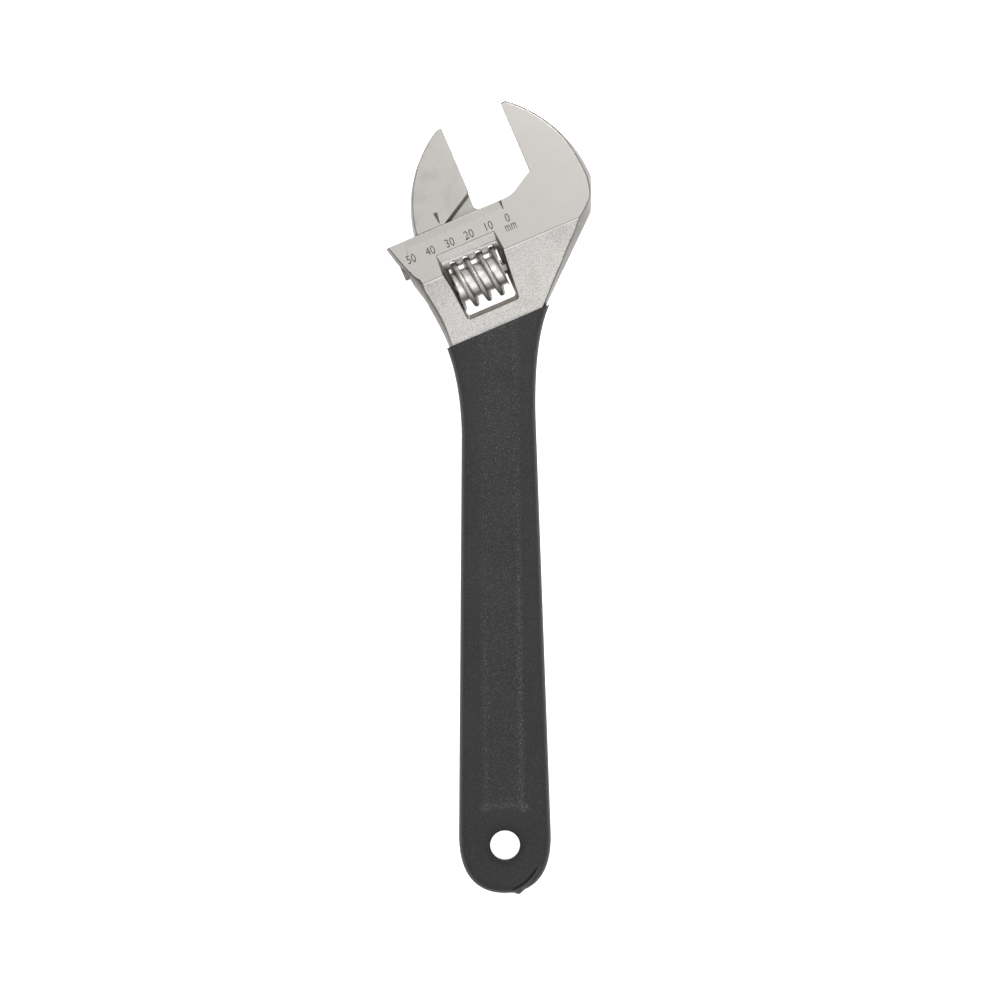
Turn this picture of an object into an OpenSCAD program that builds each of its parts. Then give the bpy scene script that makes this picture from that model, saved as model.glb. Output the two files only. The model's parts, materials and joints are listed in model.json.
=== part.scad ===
// Adjustable wrench, 375 mm class: forged body, sliding jaw, worm, pin, spring, dipped grip.
// The origin is the centre of the hang hole on the mid-plane. +Y runs along the handle to the
// head and +Z out of the marked face. The head has a frame of its own, turned by head_angle:
// s runs along the slide towards the fixed jaw, t runs towards the jaw tips, and t = 0 is the
// guide that the sliding jaw rides on.

/* [Handle] */
// From the hang hole to the origin of the head frame
reach = 307.8; // [250:0.1:370]
// Metal width beside the hang hole
end_w = 41.4; // [34:0.1:50]
// From the hang hole to the end of the metal
end_r = 21.7; // [18:0.1:27]
// Metal width at the neck, the narrowest place
neck_w = 33.0; // [28:0.1:40]
// How far the neck's middle lies left of the hang hole
neck_shift = 0.6; // [0:0.1:2]
// Metal thickness along the handle
handle_t = 14.4; // [12:0.1:17.5]
// Width of the forged channel in each face
channel_w = 18.6; // [14:0.1:22.5]
// Depth of the forged channel
channel_d = 1.6; // [1:0.1:2]

/* [Head] */
// Angle between the handle and the line square to the slide
head_angle = 22.5; // [18:0.5:27]
// Thickness over the ground faces
head_t = 20; // [18:0.1:24]
// Height of the ground band under the guide
band_h = 22.2; // [18:0.1:26.7]
// How far each face is drawn in from the parting line
side_draft = 1.6; // [1:0.1:2]
// From the head frame's origin to the back corner of the guide
guide_back = 57.5; // [56.5:0.1:62]

/* [Jaws] */
// From the head frame's origin to the fixed jaw's face
fixed_face = 20; // [18:0.1:22]
// Opening at rest
opening = 30.7; // [25:0.1:37]
// Height of the jaw faces above the guide
jaw_h = 42.8; // [35:0.1:51.4]
// Length of the sliding jaw along the guide
jaw_l = 32.4; // [30:0.1:36]
// Thickness of the sliding jaw
jaw_t = 19.4; // [17:0.1:23]
// Height of the relief under the sliding jaw's face
relief_h = 9.5; // [8.5:0.1:11.4]
// Length of the relief under the sliding jaw's face
relief_l = 16.6; // [15:0.1:19]
// Gap between the sliding jaw and its guide
slide_gap = 0.1; // [0.05:0.01:0.3]

/* [Rail and rack] */
// Diameter of the rail under the sliding jaw
rail_d = 14; // [12:0.1:16.8]
// From the guide to the rail's axis
rail_depth = 14.2; // [12.5:0.1:16]
// How far the rail runs ahead of the jaw's face
rail_ahead = 2.7; // [1:0.1:3.2]
// How far the rail runs behind the jaw's face
rail_behind = 44.1; // [38:0.1:53]
// Radial clearance of the rail in its bore
rail_gap = 0.08; // [0.03:0.01:0.1]
// Thickness of the web between the jaw and the rail
web_t = 8.4; // [7:0.1:10.2]
// Clearance of the web at each side of its slot
web_gap = 0.3; // [0.1:0.05:0.5]

/* [Worm] */
// Diameter over the thread
worm_d = 24; // [21.5:0.1:26]
// Diameter of the core
core_d = 15.4; // [13:0.1:17]
// Length
worm_l = 24.05; // [20:0.05:28.9]
// Pitch of the single right-hand thread
pitch = 6.6; // [6:0.05:8]
// Thread width at the crest
crest_w = 1.3; // [1:0.1:1.6]
// Thread width at the core
root_w = 3.4; // [2.8:0.1:4]
// Clearance between thread and rack on each flank
flank_gap = 0.4; // [0.3:0.05:0.5]
// Clearance between the rack's tips and the core
tip_gap = 1.5; // [1:0.1:2]
// Clearance between the thread's crest and the rack's roots
crest_gap = 0.75; // [0.5:0.05:1]
// Gap between the worm and the end wall it is pushed against
worm_end_gap = 0.05; // [0.05:0.05:0.3]

/* [Pin and spring] */
// Diameter of the pin's shank
pin_d = 6; // [5:0.1:7.2]
// Diameter of the pin's slotted head
pin_head_d = 8; // [7.6:0.1:9.6]
// Length of the pin's slotted head
pin_head_l = 9; // [7:0.1:10]
// Depth of the blind hole that takes the pin's tip
pin_tip_l = 9; // [6:0.1:12]
// Radial clearance of the pin in the body and in the worm
pin_gap = 0.05; // [0.02:0.01:0.1]
// Wire diameter of the spring
wire_d = 0.9; // [0.7:0.05:1]
// Turns of the spring
spring_turns = 5; // [4:1:6]
// Depth of the spring's pocket in the worm
pocket_l = 8; // [7:0.1:10]
// Free end of the worm to the end wall, bridged by the spring
spring_room = 0.9; // [0.6:0.05:1.4]

/* [Grip] */
// Wall of the dipped grip
grip_wall = 1.3; // [1:0.1:1.6]
// Clear diameter of the hang hole through the grip
hole_d = 14.3; // [11.9:0.1:17.2]
// From the window's lower edge down to the grip's upper edge
grip_drop = 10.4; // [8:0.1:13]
// Depth of the soft channel in the grip
grip_channel_d = 1.3; // [0.5:0.1:1.6]

/* [Hidden] */
$fn = 64;

fit = 0.04;                   // gap where two still pieces touch
far = 400;                    // cutters run this far past the part
rail_r = rail_d / 2;
worm_r = worm_d / 2;
core_r = core_d / 2;
head_z = head_t / 2;
handle_z = handle_t / 2;
worm_depth = rail_depth + rail_r + tip_gap + core_r;
jaw_face = fixed_face - opening;
jaw_back = jaw_face - jaw_l;

// The window round the worm: its length at the mid-plane and its lower edge
win_right = jaw_face + 1.45;
win_left = win_right - worm_l - worm_end_gap - spring_room;
win_low = worm_depth + worm_r + 2.3;
worm_left = win_left + worm_end_gap;
grip_top = win_low + grip_drop;

// One thread crest stands on the upper side of the worm at crest_s, at rest
crest_s = worm_left + 2.65;
pocket_r = pin_d / 2 + 1.7;

function unit(v) = v / norm(v);

// A point of the head frame in the part's frame
function row(p) = [p.x * cos(head_angle) - p.y * sin(head_angle),
                   p.x * sin(head_angle) + p.y * cos(head_angle) + reach];

// A cubic curve from p[0] towards p[3], without its last point
function bez(p, n) = [for (i = [0:n - 1]) let (u = i / n, v = 1 - u)
    v * v * v * p[0] + 3 * u * v * v * p[1] + 3 * u * u * v * p[2] + u * u * u * p[3]];

// The circle through three points: its centre, and twice the triangle's area with its sign
function area2(a, b, c) = a.x * (b.y - c.y) + b.x * (c.y - a.y) + c.x * (a.y - b.y);
function centre(a, b, c) = [
    (a * a * (b.y - c.y) + b * b * (c.y - a.y) + c * c * (a.y - b.y)) / area2(a, b, c) / 2,
    (a * a * (c.x - b.x) + b * b * (a.x - c.x) + c * c * (b.x - a.x)) / area2(a, b, c) / 2];

// An arc from a through b towards c, without its last point
function arc(a, b, c, n) = let (m = centre(a, b, c), r = norm(a - m),
    first = atan2(a.y - m.y, a.x - m.x), last = atan2(c.y - m.y, c.x - m.x),
    raw = last - first,
    sweep = area2(a, b, c) > 0 ? (raw < 0 ? raw + 360 : raw) : (raw > 0 ? raw - 360 : raw))
    [for (i = [0:n - 1]) m + r * [cos(first + sweep * i / n), sin(first + sweep * i / n)]];

// A counter-clockwise outline moved inwards by d
function inset(pts, d) = let (n = len(pts)) [for (i = [0:n - 1])
    let (a = unit(pts[i] - pts[(i + n - 1) % n]), b = unit(pts[(i + 1) % n] - pts[i]),
         m = unit([-a.y - b.y, a.x + b.x]))
    pts[i] + m * d / max(m * [-a.y, a.x], 0.5)];

// A closed solid through rings of equally many points; each ring is [height, outline]
module loft(rings) {
    n = len(rings[0][1]);
    last = len(rings) - 1;
    points = [for (ring = rings) for (p = ring[1]) [p.x, p.y, ring[0]]];
    sides = [for (k = [0:last - 1]) for (i = [0:n - 1]) let (j = (i + 1) % n)
        each [[k * n + i, (k + 1) * n + i, k * n + j],
              [k * n + j, (k + 1) * n + i, (k + 1) * n + j]]];
    ends = [[for (i = [0:n - 1]) i], [for (i = [n - 1:-1:0]) last * n + i]];
    polyhedron(points, concat(sides, ends), convexity = 8);
}

// A tube of round wire or a thread: a closed section swept through its places in order
module sweep_sections(sections) {
    n = len(sections[0]);
    last = len(sections) - 1;
    points = [for (section = sections) each section];
    sides = [for (k = [0:last - 1]) for (i = [0:n - 1]) let (j = (i + 1) % n)
        each [[k * n + i, k * n + j, (k + 1) * n + i],
              [k * n + j, (k + 1) * n + j, (k + 1) * n + i]]];
    ends = [[for (i = [n - 1:-1:0]) i], [for (i = [0:n - 1]) last * n + i]];
    polyhedron(points, concat(sides, ends), convexity = 8);
}

module in_head() {
    translate([0, reach, 0]) rotate([0, 0, head_angle]) children();
}

// A cylinder along the slide, from s = a to s = b, at depth under the guide
module along(a, b, depth, r) {
    in_head() translate([a, -depth, 0]) rotate([0, 90, 0]) cylinder(h = b - a, r = r);
}

// Outline of the forging at its parting line, from inside the fixed jaw's tip and round by the
// handle. It closes across the mouth, which is cut square through it, so that the first point
// sees all of the others.
neck_right = row([4, -grip_top + 2]);
neck_left = [-25, reach - 66.3];
flank_right = row([38.4, -band_h - 1.2]);
flank_left = row([-guide_back + 6, -band_h - 3]);
guide_lift = 6;
right_x = neck_w / 2 - neck_shift;
left_x = -neck_w / 2 - neck_shift;
end_x = end_w / 2;
tip_s = fixed_face + 3.4;
outline = concat(
    [row([fixed_face - 6, jaw_h]), row([-guide_back - guide_lift * 0.24, guide_lift])],
    bez([flank_left, flank_left - 8 * unit(row([-guide_back, 0]) - flank_left),
         neck_left + [-3.2, 7.5], neck_left], 7),
    bez([neck_left, neck_left - [-5.2, 12], [left_x, reach - 94], [left_x, reach - 112]], 9),
    [[left_x, reach - 112]],
    bez([[-end_x, 6], [-end_x - 0.5, -end_r * 0.6], [-end_r * 0.62, -end_r], [0, -end_r]], 9),
    bez([[0, -end_r], [end_r * 0.62, -end_r], [end_x + 0.5, -end_r * 0.6], [end_x, 6]], 9),
    [[end_x, 6]],
    bez([[right_x, reach - 103], [right_x - 0.3, reach - 76],
         neck_right - 12.3 * unit(flank_right - neck_right), neck_right], 10),
    [neck_right],
    arc(flank_right, row([43.5, -band_h + 9.7]), row([45.4, -2]), 6),
    arc(row([45.4, -2]), row([39.8, 20.3]), row([tip_s, jaw_h - 0.7]), 12),
    [row([tip_s, jaw_h - 0.7]), row([tip_s - 1.6, jaw_h])]);

// Half section of the forging's side: share of the half thickness, share of the draft
side_curve = [[1, 1], [0.8, 0.5], [0.45, 0.15], [0, 0]];
side_rings = concat([for (c = side_curve) [-c.x, c.y]], [for (i = [2:-1:0]) side_curve[i]]);

// Half thickness of the forging at distance d below the ground band
blend_l = 12;
function face_z(d) = handle_z + (head_z - handle_z) * exp(-d / blend_l);

// Everything within the faces: flat over the ground band, then falling to the handle
module between_faces(grow) {
    falls = [for (d = [0:4:52]) [-band_h - d, face_z(d) + grow]];
    upper = concat([[far, head_z + grow]], falls, [[-far, handle_z + grow]]);
    lower = [for (i = [len(upper) - 1:-1:0]) [upper[i].x, -upper[i].y]];
    in_head() rotate([90, 0, 90]) translate([0, 0, -far / 2]) linear_extrude(far)
        polygon(concat(upper, lower));
}

// The forged channel, with square lower corners and a round upper end
channel_from = 21;
channel_to = reach - 80;
module channel(w, depth, face) {
    lower = w / 2;
    upper = w / 2 - 1.6;
    shape = concat([[-lower - 1.5, channel_from], [lower + 1.5, channel_from],
                    [lower, channel_from + 4]],
        [for (a = [0:15:180]) [upper * cos(a), channel_to - upper + upper * sin(a)]],
        [[-lower, channel_from + 4]]);
    for (side = [0, 1]) mirror([0, 0, side])
        translate([-neck_shift / 2, 0, face - depth]) linear_extrude(depth + 3) polygon(shape);
}

// The metal under the grip, or the same grown by a clearance
module forging(grow) {
    difference() {
        intersection() {
            loft([for (r = side_rings)
                [r.x * (head_z + grow), inset(outline, r.y * side_draft - grow)]]);
            between_faces(grow);
        }
        channel(channel_w - 2 * grow, channel_d, handle_z + grow);
        translate([0, 0, -head_z]) cylinder(h = head_t, r = hole_d / 2 + grip_wall - grow);
    }
}

// The mouth: all of the space over the guide and before the fixed jaw's face
throat_h = 7.2;
module mouth() {
    throat = bez([[3.5, 0], [8, 0], [9.5, 1.2], [fixed_face, throat_h]], 8);
    in_head() translate([0, 0, -head_z - 1]) linear_extrude(head_t + 2)
        polygon(concat([[-far, 0]], throat,
            [[fixed_face, throat_h], [fixed_face, far], [-far, far]]));
}

// The window's outline at height z: drawn out towards the faces, most beside the rack. Its
// upper wall stays level with the rack's roots over the rail, and slopes only above it.
rack_root = worm_depth - worm_r - crest_gap;
win_top = rack_root - 0.45;
lip_z = rail_r - 0.3;
function window_ring(z) = let (k = abs(z) / head_z,
        top_t = -win_top + 4.8 * max(0, abs(z) - lip_z) / (head_z - lip_z)) [
    [win_left - 2.9 * k, top_t],
    [win_left - 3.6 * k, -rail_depth - rail_r - 0.2],
    [win_left - 1.3 * k, -win_low - 2.1 * k],
    [win_right + 1.1 * k, -win_low - 2.1 * k],
    [win_right + 3.1 * k, -rail_depth - rail_r - 0.2],
    [win_right + 2.2 * k, top_t]];
module window() {
    in_head() loft([for (z = [-head_z - 1, -lip_z, 0, lip_z, head_z + 1]) [z, window_ring(z)]]);
}

// The bore and the slot that the rail and the web slide in, both blind at the fixed jaw
slide_end = fixed_face + rail_ahead + 0.6;
module slide_way() {
    slot_z = web_t / 2 + web_gap;
    along(-far / 2, slide_end, rail_depth, rail_r + rail_gap);
    in_head() translate([0, 0, -slot_z]) linear_extrude(2 * slot_z)
        polygon([[-far, -rail_depth], [slide_end, -rail_depth], [slide_end, 0.8],
                 [fixed_face, 4.6], [fixed_face, throat_h + 3], [-far, throat_h + 3]]);
}

// The pin's place: its head starts inside the body's back edge
pin_from = win_left - 14.6;
pin_shoulder = pin_from + pin_head_l;
pin_to = win_right + pin_tip_l - 1;
module pin_bores() {
    along(pin_from - 10, pin_shoulder + fit, worm_depth, pin_head_d / 2 + pin_gap);
    along(pin_shoulder, win_right + pin_tip_l, worm_depth, pin_d / 2 + pin_gap);
}

module body() color("silver") difference() {
    forging(0);
    mouth();
    window();
    slide_way();
    pin_bores();
}

// Outline of the sliding jaw at its parting line, running past its face and its underside
jaw_tip = [jaw_face - 3, jaw_h - 0.2];
jaw_outline = concat(
    [[jaw_face + 5, jaw_h], jaw_tip],
    arc(jaw_tip + [-1, -0.6], [jaw_face - 19, jaw_h - 13.5], [jaw_back, 0], 14),
    [[jaw_back, 0], [jaw_back - 0.6, -3], [jaw_face + 5, -3]]);

// Underside and face of the sliding jaw: shoulder on the guide, relief, upright face
module jaw_head() {
    intersection() {
        in_head() loft([for (r = side_rings)
            [r.x * jaw_t / 2, inset(jaw_outline, r.y * side_draft)]]);
        in_head() translate([0, 0, -jaw_t]) linear_extrude(2 * jaw_t)
            polygon([[jaw_back - 5, slide_gap], [jaw_face - relief_l, slide_gap],
                     [jaw_face, relief_h], [jaw_face, jaw_h + 1], [jaw_back - 5, jaw_h + 1]]);
    }
}

// The web under the jaw, with a fillet that spreads over the rail
module jaw_web() {
    rail_front = jaw_face + rail_ahead;
    front = jaw_face - 0.6;
    in_head() translate([0, 0, -web_t / 2]) linear_extrude(web_t)
        polygon(concat([[jaw_back + 3, -rail_depth], [rail_front, -rail_depth],
                        [rail_front, 0]],
            bez([[rail_front, 0], [front + 1, 0.2], [front, 1.2], [front, 3]], 6),
            [[front, 3], [front, relief_h + 1.5], [jaw_face - relief_l, relief_h + 1.5],
             [jaw_back + 3, 2]]));
}

// The rack: slots that are narrow at their roots and slanted to suit the thread. The last one
// at the back runs out through the rail's end.
rack_slant = atan(pitch / (PI * (worm_r + core_r)));
rail_back = jaw_face - rail_behind;
function thread_w(r) = crest_w + (root_w - crest_w) * (worm_r - r) / (worm_r - core_r);
module rack_slots() {
    narrow = crest_w / 2 + flank_gap;
    wide = thread_w(worm_depth - rail_depth - rail_r) / 2 + flank_gap;
    low = rail_depth + rail_r + 1;
    first = ceil((rail_back + pitch / 4 - crest_s) / pitch);
    last = floor((jaw_face + rail_ahead - pitch / 4 - crest_s) / pitch);
    for (k = [first:last]) {
        back = k == first ? rail_d : 0;
        in_head() translate([crest_s + k * pitch, 0, 0])
            rotate([0, rack_slant, 0]) translate([0, 0, -rail_d]) linear_extrude(2 * rail_d)
            polygon([[-narrow - back, -rack_root], [narrow, -rack_root], [wide, -low],
                     [-wide - back, -low]]);
    }
}

module movable_jaw() color("lightsteelblue") {
    jaw_head();
    difference() {
        union() {
            jaw_web();
            along(rail_back, jaw_face + rail_ahead, rail_depth, rail_r);
        }
        rack_slots();
    }
}

// The thread's section in the plane of the axis: distance along the axis, radius
thread_section = [
    [-root_w / 2 - 0.1, core_r - 0.4], [-crest_w / 2 - 0.35, worm_r - 1],
    [-crest_w / 2, worm_r - 0.25], [-crest_w / 4, worm_r], [crest_w / 4, worm_r],
    [crest_w / 2, worm_r - 0.25], [crest_w / 2 + 0.35, worm_r - 1],
    [root_w / 2 + 0.1, core_r - 0.4]];
module thread() {
    step = 10;
    from = 360 * ((worm_left - crest_s) / pitch - 0.6);
    to = 360 * ((worm_left + worm_l - crest_s) / pitch + 0.6);
    in_head() translate([0, -worm_depth, 0])
        sweep_sections([for (a = [from:step:to]) [for (p = thread_section)
            [crest_s + pitch * a / 360 + p.x, p.y * cos(a), p.y * sin(a)]]]);
}

module worm() color("gainsboro") difference() {
    union() {
        along(worm_left, worm_left + worm_l, worm_depth, core_r);
        intersection() {
            thread();
            along(worm_left, worm_left + worm_l, worm_depth, worm_r + 1);
        }
    }
    along(worm_left - 1, worm_left + worm_l + 1, worm_depth, pin_d / 2 + pin_gap);
    along(worm_left + worm_l - pocket_l, worm_left + worm_l + 1, worm_depth, pocket_r);
}

module worm_pin() color("dimgray") {
    chamfer = 0.8;
    difference() {
        along(pin_from, pin_shoulder, worm_depth, pin_head_d / 2);
        in_head() translate([pin_from - 1, -worm_depth - pin_head_d, -0.6])
            cube([2.5, 2 * pin_head_d, 1.2]);
    }
    along(pin_shoulder, pin_to - chamfer, worm_depth, pin_d / 2);
    in_head() translate([pin_to - chamfer, -worm_depth, 0]) rotate([0, 90, 0])
        cylinder(h = chamfer, r1 = pin_d / 2, r2 = pin_d / 2 - chamfer);
}

module worm_spring() color("darkgray") {
    wire_r = wire_d / 2;
    coil_r = pin_d / 2 + 0.4 + wire_r;
    from = worm_left + worm_l - pocket_l + wire_r + fit;
    to = win_right - wire_r - fit;
    steps = spring_turns * 20;
    in_head() translate([0, -worm_depth, 0])
        sweep_sections([for (k = [0:steps]) let (a = k * 18, s = from + (to - from) * k / steps)
            [for (b = [0:45:315]) let (r = coil_r + wire_r * cos(b))
                [s + wire_r * sin(b), r * cos(a), r * sin(a)]]]);
}

// Half section of the grip's side: share of the half thickness, distance drawn in
grip_curve = [[1, 3.6], [0.93, 2.1], [0.78, 0.8], [0.5, 0.15], [0, 0]];
grip_rings = concat([for (c = grip_curve) [-c.x, c.y]], [for (i = [3:-1:0]) grip_curve[i]]);
grip_z = handle_z + grip_wall;
module handle_grip() color("#3c3c3e") difference() {
    intersection() {
        loft([for (r = grip_rings) [r.x * (grip_z + 0.3), inset(outline, r.y - grip_wall)]]);
        in_head() translate([-far, -far - grip_top, -far / 2]) cube([2 * far, far, far]);
    }
    forging(fit);
    channel(channel_w - 2 * grip_wall, grip_channel_d, grip_z + 0.3);
    translate([0, 0, -head_t]) cylinder(h = 2 * head_t, r = hole_d / 2);
}

body();
movable_jaw();
worm();
worm_pin();
worm_spring();
handle_grip();
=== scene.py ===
"""Looks of the adjustable wrench: forging, sliding jaw, worm, pin, spring, grip and studio.

Every size is in millimetres in the row's frame until a piece is finished, when its mesh is
turned to metres. The head has a frame of its own: s runs along the slide towards the fixed
jaw, t towards the jaw tips, and t = 0 is the guide under the sliding jaw.
"""

import json
import logging
import math
from dataclasses import dataclass, field
from enum import Enum
from typing import Callable, Iterable, Sequence

import bmesh
import bpy
from mathutils import Matrix, Vector


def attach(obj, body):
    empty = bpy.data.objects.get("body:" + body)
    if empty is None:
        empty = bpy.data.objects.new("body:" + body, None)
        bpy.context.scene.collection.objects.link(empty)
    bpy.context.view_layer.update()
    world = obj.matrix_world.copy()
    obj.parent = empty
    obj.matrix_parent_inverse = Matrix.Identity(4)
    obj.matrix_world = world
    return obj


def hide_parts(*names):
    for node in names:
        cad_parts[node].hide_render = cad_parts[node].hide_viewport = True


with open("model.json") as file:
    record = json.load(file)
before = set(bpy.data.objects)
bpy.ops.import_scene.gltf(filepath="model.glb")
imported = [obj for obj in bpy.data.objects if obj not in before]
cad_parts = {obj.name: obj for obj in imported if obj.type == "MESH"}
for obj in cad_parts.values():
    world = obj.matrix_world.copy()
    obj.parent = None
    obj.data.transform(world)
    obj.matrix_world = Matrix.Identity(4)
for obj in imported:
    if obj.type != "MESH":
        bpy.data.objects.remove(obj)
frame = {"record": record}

LOG = logging.getLogger("wrench")
METRE = 1000.0
Point = tuple[float, float]


# ---------------------------------------------------------------- frame and outlines


class Head:
    """The head's frame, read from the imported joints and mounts."""

    FIXED_FACE = 20.0
    MOUNT_HEIGHT = 25.0

    def __init__(self, record: dict) -> None:
        """Reads the slide's direction, the head's origin and the faces from the record.

        Args:
            record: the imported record.
        """
        joints = {j["name"]: j for j in record["behaviour"]["joints"]}
        mounts = {m["name"]: Vector(m["pos_m"]) * METRE for m in record["mounts"]}
        self.s = -Vector(joints["jaw_slide"]["axis"]).normalized()
        self.t = Vector((-self.s.y, self.s.x, 0.0))
        fixed = mounts["fixed_jaw_face"]
        self.origin = fixed - self.s * self.FIXED_FACE - self.t * self.MOUNT_HEIGHT
        self.jaw_face = (mounts["moving_jaw_face"] - self.origin).dot(self.s)
        worm = Vector(joints["worm_spin"]["pos_m"]) * METRE - self.origin
        self.worm_depth = -worm.dot(self.t)
        self.pitch = 2 * math.pi / record["behaviour"]["couplings"][0]["ratio"] * METRE

    @property
    def matrix(self) -> Matrix:
        """Turns head coordinates (s, t, z) into row coordinates."""
        turn = Matrix((self.s, self.t, Vector((0, 0, 1)))).transposed().to_4x4()
        return Matrix.Translation(self.origin) @ turn

    def row(self, s: float, t: float) -> Point:
        """A point of the head's plane in row coordinates."""
        place = self.matrix @ Vector((s, t, 0))
        return place.x, place.y

    def local(self, place: Vector) -> Vector:
        """A row point in head coordinates."""
        return self.matrix.inverted() @ place


def curve(a: Point, b: Point, c: Point, d: Point, count: int) -> list[Point]:
    """A cubic curve.

    Args:
        a: its start.
        b: the first handle.
        c: the second handle.
        d: its end.
        count: how many points to give.

    Returns:
        The points from a towards d, without d.
    """
    points = []
    for i in range(count):
        u, v = i / count, 1 - i / count
        weights = (v**3, 3 * u * v * v, 3 * u * u * v, u**3)
        points.append(tuple(sum(w * p[k] for w, p in zip(weights, (a, b, c, d))) for k in (0, 1)))
    return points


def arc(a: Point, b: Point, c: Point, count: int) -> list[Point]:
    """A round stretch through three points, counter-clockwise.

    Args:
        a: its start.
        b: a point that it passes.
        c: its end.
        count: how many points to give.

    Returns:
        The points from a towards c, without c.
    """
    va, vb, vc = Vector(a), Vector(b), Vector(c)
    turn = va.x * (vb.y - vc.y) + vb.x * (vc.y - va.y) + vc.x * (va.y - vb.y)
    squares = va.dot(va), vb.dot(vb), vc.dot(vc)
    x = squares[0] * (vb.y - vc.y) + squares[1] * (vc.y - va.y) + squares[2] * (va.y - vb.y)
    y = squares[0] * (vc.x - vb.x) + squares[1] * (va.x - vc.x) + squares[2] * (vb.x - va.x)
    middle = Vector((x, y)) / turn / 2
    first = math.atan2(*(va - middle).yx)
    last = math.atan2(*(vc - middle).yx)
    sweep = (last - first) % (2 * math.pi)
    radius = (va - middle).length
    angles = [first + sweep * i / count for i in range(count)]
    return [(middle.x + radius * math.cos(g), middle.y + radius * math.sin(g)) for g in angles]


def along(places: Sequence[Point], value: float) -> float:
    """A value read from listed places, straight between them.

    Args:
        places: pairs of a place and the value there, in falling order of place.
        value: the place to read.

    Returns:
        The value at the place, or the nearest end's.
    """
    for (high, first), (low, last) in zip(places, places[1:]):
        if value >= low:
            return last + (first - last) * min((value - low) / (high - low), 1.0)
    return places[-1][1]


def smooth_step(low: float, high: float, value: float) -> float:
    """0 below low, 1 above high, and a smooth rise between them."""
    share = min(max((value - low) / (high - low), 0.0), 1.0)
    return share * share * (3 - 2 * share)


# ---------------------------------------------------------------- mesh making


class Cut(Enum):
    """What a boolean does with the second solid."""

    AWAY = "DIFFERENCE"
    JOIN = "UNION"
    KEEP = "INTERSECT"


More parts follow.
